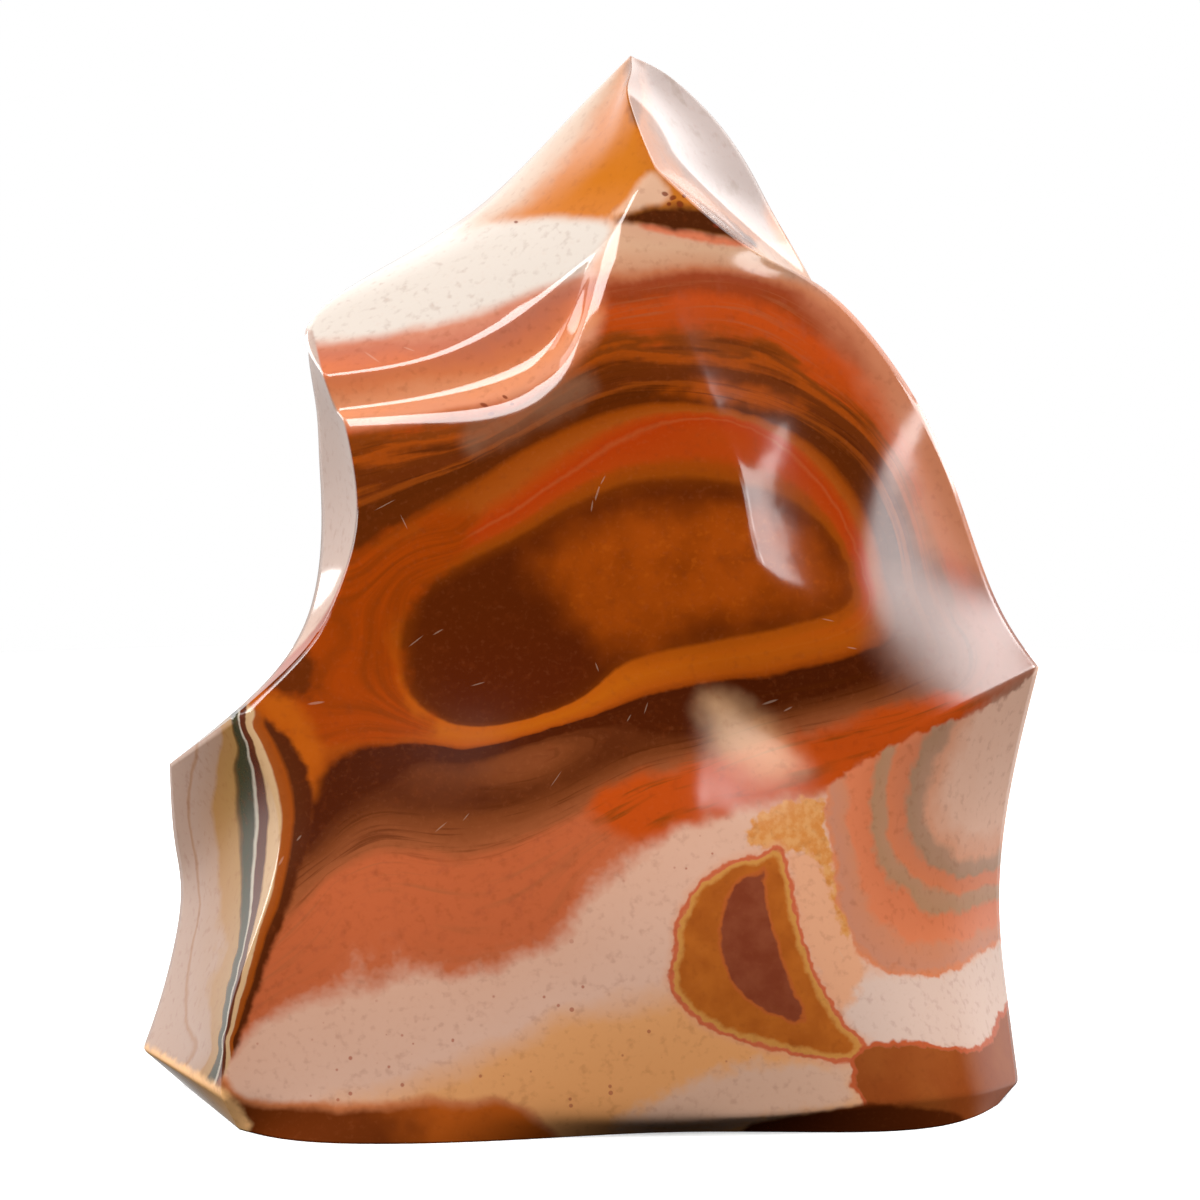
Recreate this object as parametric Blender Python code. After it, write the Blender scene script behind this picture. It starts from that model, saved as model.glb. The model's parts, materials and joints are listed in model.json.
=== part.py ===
"""A polished jasper flame: one stone, ground into hollow scoops that meet in ridges.

The stone stands on a flat spot. Its ridges run from the foot out to the tips at its sides and
up to one point. A cage of points in millimetres follows the ridges, one column of points to a
ridge, and the columns between them sink in to make the scoops. A creased subdivision surface
turns the cage into the stone: +X is to the viewer's right, -Y is the front and +Z is up.
"""

import math

import bmesh
import bpy
from mathutils import Vector

MM = 0.001

# Rows go up the stone from the foot (row 0) to the point, which is one row above the last.
ROWS = 16
POINT = (3.5, 5.0, 120.5)

# Each ridge is its points from the foot up, as x, y, z in millimetres.
FRONT_LEFT = (
    (-40.5, -15.0, 0.0), (-42.0, -18.0, 4.5), (-41.0, -19.0, 14.0), (-37.5, -19.0, 24.5),
    (-35.5, -16.3, 36.0), (-41.0, -13.0, 46.5), (-33.0, -12.8, 54.0), (-29.0, -12.5, 61.0),
    (-27.0, -11.8, 69.5), (-28.5, -10.2, 79.5), (-29.7, -8.7, 81.0), (-31.0, -8.4, 84.5),
    (-33.0, 0.0, 90.5), (-23.5, 4.0, 97.0), (-13.5, 7.0, 103.5), (-4.0, 7.0, 113.0),
)
FRONT_MIDDLE = (
    (-11.0, -20.5, 0.0), (-10.0, -22.0, 4.0), (-9.0, -22.7, 12.0), (-6.5, -23.0, 22.5),
    (-3.5, -22.7, 33.5), (3.5, -17.7, 53.5), (-2.0, -16.7, 62.0), (-8.0, -15.8, 69.0),
    (-9.5, -14.9, 75.5), (-8.0, -14.2, 81.0), (-8.2, -11.2, 84.4), (-9.0, -10.4, 91.0),
    (-11.0, -6.0, 97.0), (-9.0, 0.0, 103.5), (-5.5, 4.0, 109.5), (-1.0, 5.0, 115.5),
)
FRONT_RIGHT = (
    (33.0, -17.5, 0.0), (32.5, -19.0, 4.2), (31.0, -19.0, 10.0), (29.0, -19.0, 18.5),
    (27.5, -17.7, 28.0), (25.5, -15.9, 40.0), (20.5, -16.8, 59.0), (16.5, -15.6, 67.5),
    (16.0, -14.7, 78.5), (0.0, -14.0, 96.5), (-0.3, -13.2, 98.5), (1.5, -12.0, 100.0),
    (0.5, -8.5, 104.5), (0.0, -4.5, 109.0), (1.0, -0.5, 113.0), (2.0, 2.5, 116.5),
)
RIGHT = (
    (46.0, -4.0, 0.0), (49.0, 1.0, 1.5), (48.0, 4.0, 10.5), (47.0, 5.0, 22.0),
    (48.0, 4.0, 35.5), (50.6, 0.0, 50.5), (44.9, -1.2, 59.6), (39.0, -4.3, 74.9),
    (32.2, -6.3, 86.6), (24.7, -7.4, 94.3), (16.4, -9.8, 98.7), (6.0, -10.0, 107.5),
    (4.5, -7.5, 111.0), (3.5, -4.0, 114.0), (3.0, -1.0, 116.5), (3.5, 2.0, 118.5),
)
BACK_RIGHT = (
    (35.5, 15.0, 0.0), (39.0, 21.0, 4.0), (39.0, 23.0, 11.5), (39.0, 23.0, 22.5),
    (39.5, 23.0, 38.5), (39.0, 22.0, 53.5), (37.0, 21.0, 66.0), (34.0, 19.0, 77.0),
    (30.0, 17.0, 85.5), (26.5, 15.0, 92.5), (23.5, 13.5, 98.0), (20.5, 12.5, 103.0),
    (18.0, 11.5, 107.5), (14.5, 10.5, 112.5), (10.5, 9.0, 116.5), (7.0, 7.0, 119.0),
)
BACK = (
    (0.0, 19.0, 0.0), (0.0, 24.0, 5.0), (-2.0, 26.0, 13.0), (-5.0, 27.0, 25.0),
    (-8.0, 27.0, 36.0), (-10.0, 27.0, 48.0), (-10.5, 26.5, 57.0), (-9.5, 26.0, 65.5),
    (-8.0, 25.0, 74.0), (-6.5, 24.0, 82.0), (-5.0, 22.5, 88.0), (-3.0, 20.5, 94.0),
    (-1.0, 18.5, 99.5), (0.5, 16.0, 105.5), (2.0, 13.0, 111.5), (3.0, 9.0, 117.0),
)
BACK_LEFT = (
    (-49.5, 6.0, 0.0), (-54.0, 4.5, 4.5), (-51.5, 5.5, 12.0), (-49.5, 6.0, 22.0),
    (-50.0, 5.0, 29.5), (-50.0, 1.5, 39.0), (-40.5, 13.0, 46.5), (-35.0, 17.0, 55.0),
    (-33.5, 18.0, 65.0), (-33.5, 16.0, 73.0), (-33.5, 13.0, 79.0), (-34.0, 10.0, 84.5),
    (-32.0, 8.0, 91.5), (-21.0, 12.0, 98.5), (-11.0, 14.0, 105.5), (-3.0, 11.0, 113.5),
)

# Points of the front that leave the smooth curve between its ridges, by column and row.
FRONT_DETAIL = {
    (1, 0): (-33.0, -22.0, 0.0), (3, 0): (8.0, -14.5, 0.0), (5, 0): (42.0, -11.5, 0.0),
    (3, 1): (11.0, -19.0, 1.5), (5, 1): (42.3, -12.3, 3.2),
    (3, 2): (11.0, -21.0, 11.0), (5, 2): (41.5, -10.5, 10.0),
    (3, 3): (11.0, -22.4, 20.5), (3, 4): (12.0, -21.7, 31.0),
    (3, 5): (16.5, -16.8, 48.5), (5, 5): (39.0, -10.5, 46.0),
    (5, 6): (33.0, -12.0, 59.5), (5, 7): (29.0, -10.9, 70.5), (5, 8): (24.7, -10.4, 82.5),
    (1, 9): (-19.5, -12.4, 80.3), (3, 9): (-2.0, -14.3, 87.0), (5, 9): (11.0, -13.0, 93.0),
    (1, 10): (-20.3, -10.4, 81.5), (3, 10): (-3.6, -11.2, 89.6), (5, 10): (8.0, -12.0, 99.5),
    (1, 11): (-18.5, -10.6, 86.0), (3, 11): (-2.5, -11.3, 96.5), (5, 11): (3.5, -11.9, 104.0),
}

# How far each scoop sinks in between its two ridges, row by row.
RIGHT_SIDE_DEPTH = (0, 0, 2, 3.5, 3.5, 0.5, 3.5, 4.5, 4, 3.5, 3, 2.5, 2, 1.5, 1, 0.5)
BACK_RIGHT_DEPTH = (0, 1, 3, 5, 6, 6, 4, 1, 4, 6, 5.5, 4, 3, 2, 1, 0.5)
BACK_LEFT_DEPTH = (0, 1, 3, 5, 5, 1, 4, 6, 6, 5, 4.5, 4, 3, 2, 1, 0.5)
LEFT_SIDE_DEPTH = (0, 0, 1, 1.5, 1, 0, 4, 5, 5, 4, 3, 2, 0, -1, -1, -0.5)

# Columns of the cage, counted round the stone from its front left ridge.
FRONT_MIDDLE_COLUMN = 2
FRONT_RIGHT_COLUMN = 4
RIGHT_COLUMN = 6
BACK_RIGHT_COLUMN = 8
BACK_COLUMN = 11
BACK_LEFT_COLUMN = 14
COLUMNS = 16

# Rows of the cage that other ridges run along.
CHAMFER_ROW = 1
FORK_ROW = 5
FOLD_ROW = 6
BACK_FORK_ROW = 7
FOLD_TOP_ROW = 8
SHELF_ROW = 9
VALLEY_ROW = 10
LIP_ROW = 11
SHOULDER_ROW = 12

# Rounds of correction that bring the smoothed ridges onto their points.
SETTLING_ROUNDS = 12

# Which edges of the cage stay as ridges: (column, row) at each end, and how sharp.
SHARP = 1.0
RIDGES = (
    ((0, 0), (0, SHOULDER_ROW), SHARP),
    ((0, SHOULDER_ROW), (0, ROWS), 0.5),
    ((BACK_LEFT_COLUMN, FORK_ROW), (COLUMNS, FORK_ROW), SHARP),
    ((BACK_LEFT_COLUMN, 0), (BACK_LEFT_COLUMN, SHOULDER_ROW), SHARP),
    ((BACK_LEFT_COLUMN, SHOULDER_ROW), (BACK_LEFT_COLUMN, ROWS), 0.4),
    ((0, LIP_ROW), (RIGHT_COLUMN, LIP_ROW), 0.65),
    ((0, SHELF_ROW), (FRONT_RIGHT_COLUMN, SHELF_ROW), 0.35),
    ((0, VALLEY_ROW), (FRONT_RIGHT_COLUMN, VALLEY_ROW), 0.4),
    ((RIGHT_COLUMN, 0), (RIGHT_COLUMN, ROWS), SHARP),
    ((FRONT_RIGHT_COLUMN, FORK_ROW), (RIGHT_COLUMN, FORK_ROW), SHARP),
    ((FRONT_RIGHT_COLUMN - 1, FORK_ROW), (FRONT_RIGHT_COLUMN, FORK_ROW), 0.6),
    ((FRONT_MIDDLE_COLUMN, FORK_ROW), (FRONT_MIDDLE_COLUMN + 1, FORK_ROW), 0.3),
    ((FRONT_RIGHT_COLUMN, FOLD_ROW), (FRONT_RIGHT_COLUMN, FOLD_TOP_ROW), 0.55),
    ((RIGHT_COLUMN, FORK_ROW), (BACK_RIGHT_COLUMN, FORK_ROW), 0.7),
    ((BACK_RIGHT_COLUMN, 0), (BACK_RIGHT_COLUMN, ROWS), 0.8),
    ((BACK_RIGHT_COLUMN, BACK_FORK_ROW), (BACK_COLUMN, BACK_FORK_ROW), 0.7),
    ((BACK_COLUMN, 0), (BACK_COLUMN, ROWS), 0.8),
    ((BACK_COLUMN, FORK_ROW), (BACK_LEFT_COLUMN, FORK_ROW), 0.7),
    ((0, 0), (COLUMNS, 0), SHARP),
    ((0, CHAMFER_ROW), (FRONT_RIGHT_COLUMN - 1, CHAMFER_ROW), 0.35),
    ((FRONT_RIGHT_COLUMN - 1, CHAMFER_ROW), (FRONT_RIGHT_COLUMN, CHAMFER_ROW), 0.9),
    ((FRONT_RIGHT_COLUMN, CHAMFER_ROW), (RIGHT_COLUMN, CHAMFER_ROW), 0.6),
    ((RIGHT_COLUMN, CHAMFER_ROW), (BACK_RIGHT_COLUMN, CHAMFER_ROW), 0.8),
    ((BACK_LEFT_COLUMN - 1, CHAMFER_ROW), (COLUMNS, CHAMFER_ROW), 0.7),
)


def push_out(ridge, corner_rows):
    """Cage points whose smoothed line runs through a ridge's own points, apart from its corners."""
    aim = [Vector(point) for point in (*ridge, POINT)]
    points = list(aim)
    for _ in range(SETTLING_ROUNDS):
        for i in range(1, ROWS):
            if i not in corner_rows:
                smoothed = (points[i - 1] + 4 * points[i] + points[i + 1]) / 6
                points[i] = points[i] + aim[i] - smoothed
    return points[:ROWS]


def halfway(before, start, end, after):
    """The point half way along the smooth curve from start to end."""
    return (9 * (start + end) - before - after) / 16


def front_row(row, known):
    """The front ridges of one row, with a point on a smooth curve between each two."""
    padded = [2 * known[0] - known[1], *known, 2 * known[-1] - known[-2]]
    points = []
    for i in range(1, len(padded) - 2):
        points += [padded[i], halfway(*padded[i - 1:i + 3])]
    points.append(padded[-2])
    return [Vector(FRONT_DETAIL.get((i, row), point)) for i, point in enumerate(points)]


def scoop(start, end, count, depth):
    """Points between two ridges, sunk towards the inside of the stone."""
    along = end - start
    inward = Vector((-along.y, along.x, 0)).normalized()
    shares = [(i + 1) / (count + 1) for i in range(count)]
    return [start + along * t + inward * depth * math.sin(math.pi * t) for t in shares]


def rings():
    """The points of every row, round the stone from its front left ridge."""
    front_left = push_out(FRONT_LEFT, (CHAMFER_ROW, FORK_ROW, SHELF_ROW, LIP_ROW))
    front_middle = [Vector(point) for point in FRONT_MIDDLE]
    front_right = [Vector(point) for point in FRONT_RIGHT]
    right = push_out(RIGHT, (CHAMFER_ROW, FORK_ROW, LIP_ROW))
    back_right = push_out(BACK_RIGHT, (CHAMFER_ROW, FORK_ROW, BACK_FORK_ROW))
    back = push_out(BACK, (FORK_ROW, BACK_FORK_ROW))
    back_left = push_out(BACK_LEFT, (CHAMFER_ROW, FORK_ROW))
    return [
        [
            *front_row(i, [front_left[i], front_middle[i], front_right[i], right[i]]),
            *scoop(right[i], back_right[i], 1, RIGHT_SIDE_DEPTH[i]), back_right[i],
            *scoop(back_right[i], back[i], 2, BACK_RIGHT_DEPTH[i]), back[i],
            *scoop(back[i], back_left[i], 2, BACK_LEFT_DEPTH[i]), back_left[i],
            *scoop(back_left[i], front_left[i], 1, LEFT_SIDE_DEPTH[i]),
        ]
        for i in range(ROWS)
    ]


def close_foot(mesh, outline):
    """Fills the flat foot: one ring half way in, then a fan to the middle."""
    middle = sum((corner.co for corner in outline), Vector()) / len(outline)
    inner = [mesh.verts.new((corner.co + middle) / 2) for corner in outline]
    centre = mesh.verts.new(middle)
    for i in range(len(outline)):
        j = (i + 1) % len(outline)
        mesh.faces.new((outline[j], outline[i], inner[i], inner[j]))
        mesh.faces.new((inner[j], inner[i], centre))


def crease_ridges(mesh, grid):
    """Marks the cage edges that stay as ridges."""
    crease = mesh.edges.layers.float.new("crease_edge")
    for (column, row), (end_column, end_row), sharpness in RIDGES:
        steps = max(end_column - column, end_row - row)
        across = (end_column - column) // steps
        up = (end_row - row) // steps
        corners = [grid[row + up * i][(column + across * i) % COLUMNS] for i in range(steps + 1)]
        for corner, following in zip(corners, corners[1:]):
            mesh.edges.get((corner, following))[crease] = sharpness


def cage():
    """The cage as a mesh in metres."""
    mesh = bmesh.new()
    grid = [[mesh.verts.new(point * MM) for point in ring] for ring in rings()]
    tip = mesh.verts.new(Vector(POINT) * MM)
    for lower, upper in zip(grid, grid[1:]):
        for i in range(COLUMNS):
            j = (i + 1) % COLUMNS
            mesh.faces.new((lower[i], lower[j], upper[j], upper[i]))
    for i in range(COLUMNS):
        mesh.faces.new((grid[-1][i], grid[-1][(i + 1) % COLUMNS], tip))
    close_foot(mesh, grid[0])
    crease_ridges(mesh, grid + [[tip] * COLUMNS])
    data = bpy.data.meshes.new("flame")
    mesh.to_mesh(data)
    mesh.free()
    return data


def smooth(stone, levels):
    """Turns the cage into the ground and polished surface."""
    surface = stone.modifiers.new("ground surface", "SUBSURF")
    surface.levels = levels
    surface.render_levels = levels


def stand_at_origin(stone):
    """Moves the cage so that the stone's box is centred on the origin, with its foot at z = 0."""
    evaluated = stone.evaluated_get(bpy.context.evaluated_depsgraph_get())
    corners = [Vector(corner) for corner in evaluated.bound_box]
    middle = sum(corners, Vector()) / len(corners)
    for vertex in stone.data.vertices:
        vertex.co -= Vector((middle.x, middle.y, 0))


def jasper():
    """The stone's overall look: polished orange brown."""
    material = bpy.data.materials.new("polychrome jasper")
    material.use_nodes = True
    shader = material.node_tree.nodes["Principled BSDF"]
    shader.inputs["Base Color"].default_value = (0.45, 0.16, 0.06, 1)
    shader.inputs["Roughness"].default_value = 0.12
    shader.inputs["Metallic"].default_value = 0.0
    return material


def build():
    for old in list(bpy.data.objects):
        bpy.data.objects.remove(old)
    stone = bpy.data.objects.new("flame", cage())
    bpy.context.scene.collection.objects.link(stone)
    smooth(stone, 2)
    stone.data.materials.append(jasper())
    stone.data.shade_smooth()
    stand_at_origin(stone)


build()
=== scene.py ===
"""The polished jasper flame in a pale studio: the finished stone, its markings and its light."""

import json
import math

import bmesh
import bpy
import numpy as np
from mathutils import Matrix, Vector

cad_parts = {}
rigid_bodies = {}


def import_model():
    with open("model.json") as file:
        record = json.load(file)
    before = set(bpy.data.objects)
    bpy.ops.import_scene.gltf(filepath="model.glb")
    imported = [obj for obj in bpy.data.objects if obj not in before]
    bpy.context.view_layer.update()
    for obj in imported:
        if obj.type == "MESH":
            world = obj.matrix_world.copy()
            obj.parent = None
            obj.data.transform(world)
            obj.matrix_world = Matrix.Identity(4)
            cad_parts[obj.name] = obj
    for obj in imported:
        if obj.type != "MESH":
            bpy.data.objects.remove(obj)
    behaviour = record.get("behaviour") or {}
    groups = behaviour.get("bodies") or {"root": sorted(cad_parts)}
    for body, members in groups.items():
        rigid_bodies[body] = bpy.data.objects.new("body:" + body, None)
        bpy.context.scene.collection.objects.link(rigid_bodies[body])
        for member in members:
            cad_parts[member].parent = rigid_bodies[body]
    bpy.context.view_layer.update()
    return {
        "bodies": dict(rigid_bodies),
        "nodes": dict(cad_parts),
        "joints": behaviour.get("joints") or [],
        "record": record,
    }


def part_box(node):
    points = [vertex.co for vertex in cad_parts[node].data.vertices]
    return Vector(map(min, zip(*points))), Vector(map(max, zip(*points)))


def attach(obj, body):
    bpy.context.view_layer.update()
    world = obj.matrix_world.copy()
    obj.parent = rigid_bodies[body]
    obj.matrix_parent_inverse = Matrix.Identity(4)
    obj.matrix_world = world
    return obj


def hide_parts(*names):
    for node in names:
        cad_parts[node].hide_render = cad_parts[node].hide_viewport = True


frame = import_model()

MM = 0.001

# Rows go up the stone from the foot (row 0) to the point, which is one row above the last.
ROWS = 16
POINT = (3.5, 5, 120.5)

# Each ridge is its points from the foot up, as x, y, z in millimetres.
FRONT_LEFT = (
    (-40.5, -15, 0), (-42, -18, 4.5), (-41, -19, 14), (-37.5, -19, 24.5),
    (-35.5, -16.3, 36), (-41, -13, 46.5), (-33, -12.8, 54), (-29, -12.5, 61),
    (-27, -11.8, 69.5), (-28.5, -10.2, 79.5), (-29.7, -8.7, 81), (-31, -8.4, 84.5),
    (-33, 0, 90.5), (-23.5, 4, 97), (-13.5, 7, 103.5), (-4, 7, 113),
)
FRONT_MIDDLE = (
    (-11, -20.5, 0), (-10, -22, 4), (-9, -22.7, 12), (-6.5, -23, 22.5),
    (-3.5, -22.7, 33.5), (3.5, -17.7, 53.5), (-2, -16.7, 62), (-8, -15.8, 69),
    (-9.5, -14.9, 75.5), (-8, -14.2, 81), (-8.2, -11.2, 84.4), (-9, -10.4, 91),
    (-11, -6, 97), (-9, 0, 103.5), (-5.5, 4, 109.5), (-1, 5, 115.5),
)
FRONT_RIGHT = (
    (33, -17.5, 0), (32.5, -19, 4.2), (31, -19, 10), (29, -19, 18.5),
    (27.5, -17.7, 28), (25.5, -15.9, 40), (20.5, -16.8, 59), (16.5, -15.6, 67.5),
    (16, -14.7, 78.5), (0, -14, 96.5), (-0.3, -13.2, 98.5), (1.5, -12, 100),
    (0.5, -8.5, 104.5), (0, -4.5, 109), (1, -0.5, 113), (2, 2.5, 116.5),
)
RIGHT = (
    (46, -4, 0), (49, 1, 1.5), (48, 4, 10.5), (47, 5, 22),
    (48, 4, 35.5), (50.6, 0, 50.5), (44.9, -1.2, 59.6), (39, -4.3, 74.9),
    (32.2, -6.3, 86.6), (24.7, -7.4, 94.3), (16.4, -9.8, 98.7), (6, -10, 107.5),
    (4.5, -7.5, 111), (3.5, -4, 114), (3, -1, 116.5), (3.5, 2, 118.5),
)
BACK_RIGHT = (
    (35.5, 15, 0), (39, 21, 4), (39, 23, 11.5), (39, 23, 22.5),
    (39.5, 23, 38.5), (39, 22, 53.5), (37, 21, 66), (34, 19, 77),
    (30, 17, 85.5), (26.5, 15, 92.5), (23.5, 13.5, 98), (20.5, 12.5, 103),
    (18, 11.5, 107.5), (14.5, 10.5, 112.5), (10.5, 9, 116.5), (7, 7, 119),
)
BACK = (
    (0, 19, 0), (0, 24, 5), (-2, 26, 13), (-5, 27, 25),
    (-8, 27, 36), (-10, 27, 48), (-10.5, 26.5, 57), (-9.5, 26, 65.5),
    (-8, 25, 74), (-6.5, 24, 82), (-5, 22.5, 88), (-3, 20.5, 94),
    (-1, 18.5, 99.5), (0.5, 16, 105.5), (2, 13, 111.5), (3, 9, 117),
)
BACK_LEFT = (
    (-49.5, 6, 0), (-54, 4.5, 4.5), (-51.5, 5.5, 12), (-49.5, 6, 22),
    (-50, 5, 29.5), (-50, 1.5, 39), (-40.5, 13, 46.5), (-35, 17, 55),
    (-33.5, 18, 65), (-33.5, 16, 73), (-33.5, 13, 79), (-34, 10, 84.5),
    (-32, 8, 91.5), (-21, 12, 98.5), (-11, 14, 105.5), (-3, 11, 113.5),
)

# Points of the front that leave the smooth curve between its ridges, by column and row.
FRONT_DETAIL = {
    (1, 0): (-33, -22, 0), (3, 0): (8, -14.5, 0), (5, 0): (42, -11.5, 0),
    (3, 1): (11, -19, 1.5), (5, 1): (42.3, -12.3, 3.2),
    (3, 2): (11, -21, 11), (5, 2): (41.5, -10.5, 10),
    (3, 3): (11, -22.4, 20.5), (3, 4): (12, -21.7, 31),
    (3, 5): (16.5, -16.8, 48.5), (5, 5): (39, -10.5, 46),
    (5, 6): (33, -12, 59.5), (5, 7): (29, -10.9, 70.5), (5, 8): (24.7, -10.4, 82.5),
    (1, 9): (-19.5, -12.4, 80.3), (3, 9): (-2, -14.3, 87), (5, 9): (11, -13, 93),
    (1, 10): (-20.3, -10.4, 81.5), (3, 10): (-3.6, -11.2, 89.6), (5, 10): (8, -12, 99.5),
    (1, 11): (-18.5, -10.6, 86), (3, 11): (-2.5, -11.3, 96.5), (5, 11): (3.5, -11.9, 104),
}

# How far each scoop sinks in between its two ridges, row by row.
RIGHT_SIDE_DEPTH = (0, 0, 2, 3.5, 3.5, 0.5, 3.5, 4.5, 4, 3.5, 3, 2.5, 2, 1.5, 1, 0.5)
BACK_RIGHT_DEPTH = (0, 1, 3, 5, 6, 6, 4, 1, 4, 6, 5.5, 4, 3, 2, 1, 0.5)
BACK_LEFT_DEPTH = (0, 1, 3, 5, 5, 1, 4, 6, 6, 5, 4.5, 4, 3, 2, 1, 0.5)
LEFT_SIDE_DEPTH = (0, 0, 1, 1.5, 1, 0, 4, 5, 5, 4, 3, 2, 0, -1, -1, -0.5)

# Columns of the cage, counted round the stone from its front left ridge.
FRONT_MIDDLE_COLUMN = 2
FRONT_RIGHT_COLUMN = 4
RIGHT_COLUMN = 6
BACK_RIGHT_COLUMN = 8
BACK_COLUMN = 11
BACK_LEFT_COLUMN = 14
COLUMNS = 16

# Rows of the cage that other ridges run along.
CHAMFER_ROW = 1
FORK_ROW = 5
FOLD_ROW = 6
BACK_FORK_ROW = 7
FOLD_TOP_ROW = 8
SHELF_ROW = 9
VALLEY_ROW = 10
LIP_ROW = 11
SHOULDER_ROW = 12

# Rounds of correction that bring the smoothed ridges onto their points.
SETTLING_ROUNDS = 12

# Which edges of the cage stay as ridges: (column, row) at each end, and how sharp.
SHARP = 1.0
RIDGES = (
    ((0, 0), (0, SHOULDER_ROW), SHARP),
    ((0, SHOULDER_ROW), (0, ROWS), 0.5),
    ((BACK_LEFT_COLUMN, FORK_ROW), (COLUMNS, FORK_ROW), SHARP),
    ((BACK_LEFT_COLUMN, 0), (BACK_LEFT_COLUMN, SHOULDER_ROW), SHARP),
    ((BACK_LEFT_COLUMN, SHOULDER_ROW), (BACK_LEFT_COLUMN, ROWS), 0.4),
    ((0, LIP_ROW), (RIGHT_COLUMN, LIP_ROW), 0.65),
    ((0, SHELF_ROW), (FRONT_RIGHT_COLUMN, SHELF_ROW), 0.35),
    ((0, VALLEY_ROW), (FRONT_RIGHT_COLUMN, VALLEY_ROW), 0.4),
    ((RIGHT_COLUMN, 0), (RIGHT_COLUMN, ROWS), SHARP),
    ((FRONT_RIGHT_COLUMN, FORK_ROW), (RIGHT_COLUMN, FORK_ROW), SHARP),
    ((FRONT_RIGHT_COLUMN - 1, FORK_ROW), (FRONT_RIGHT_COLUMN, FORK_ROW), 0.6),
    ((FRONT_MIDDLE_COLUMN, FORK_ROW), (FRONT_MIDDLE_COLUMN + 1, FORK_ROW), 0.3),
    ((FRONT_RIGHT_COLUMN, FOLD_ROW), (FRONT_RIGHT_COLUMN, FOLD_TOP_ROW), 0.55),
    ((RIGHT_COLUMN, FORK_ROW), (BACK_RIGHT_COLUMN, FORK_ROW), 0.7),
    ((BACK_RIGHT_COLUMN, 0), (BACK_RIGHT_COLUMN, ROWS), 0.8),
    ((BACK_RIGHT_COLUMN, BACK_FORK_ROW), (BACK_COLUMN, BACK_FORK_ROW), 0.7),
    ((BACK_COLUMN, 0), (BACK_COLUMN, ROWS), 0.8),
    ((BACK_COLUMN, FORK_ROW), (BACK_LEFT_COLUMN, FORK_ROW), 0.7),
    ((0, 0), (COLUMNS, 0), SHARP),
    ((0, CHAMFER_ROW), (FRONT_RIGHT_COLUMN - 1, CHAMFER_ROW), 0.35),
    ((FRONT_RIGHT_COLUMN - 1, CHAMFER_ROW), (FRONT_RIGHT_COLUMN, CHAMFER_ROW), 0.9),
    ((FRONT_RIGHT_COLUMN, CHAMFER_ROW), (RIGHT_COLUMN, CHAMFER_ROW), 0.6),
    ((RIGHT_COLUMN, CHAMFER_ROW), (BACK_RIGHT_COLUMN, CHAMFER_ROW), 0.8),
    ((BACK_LEFT_COLUMN - 1, CHAMFER_ROW), (COLUMNS, CHAMFER_ROW), 0.7),
)

# The stone is smoothed far enough for its reflections to run evenly over it.
FINE_LEVELS = 4

# The camera looks level with the stone, from a little above, through a long lens.
LENS_MM = 100
SENSOR_MM = 36
CAMERA_DISTANCE = 383.5 * MM
CAMERA_ELEVATION = math.radians(6.0)
CAMERA_AIM = Vector((1.7, -2.134, 58.3)) * MM

# The markings are laid out as the camera sees them, in pixels of a square picture, and reach
# this deep behind the origin (in millimetres) before they start to drift.
PICTURE_PIXELS = 1200
FRONT_DEPTH = 7.0
# Behind that depth a marking with an outline shrinks by this many pixels a millimetre.
OUTLINE_FADE = 12.0
# How the guide lines are traced (in pixels) and how loosely a field follows them.
GUIDE_STEP = 24.0
SPREAD_EASE = 3e-3
# Points of the stone that are placed among the guides at a time.
SPREAD_BATCH = 4000

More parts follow.
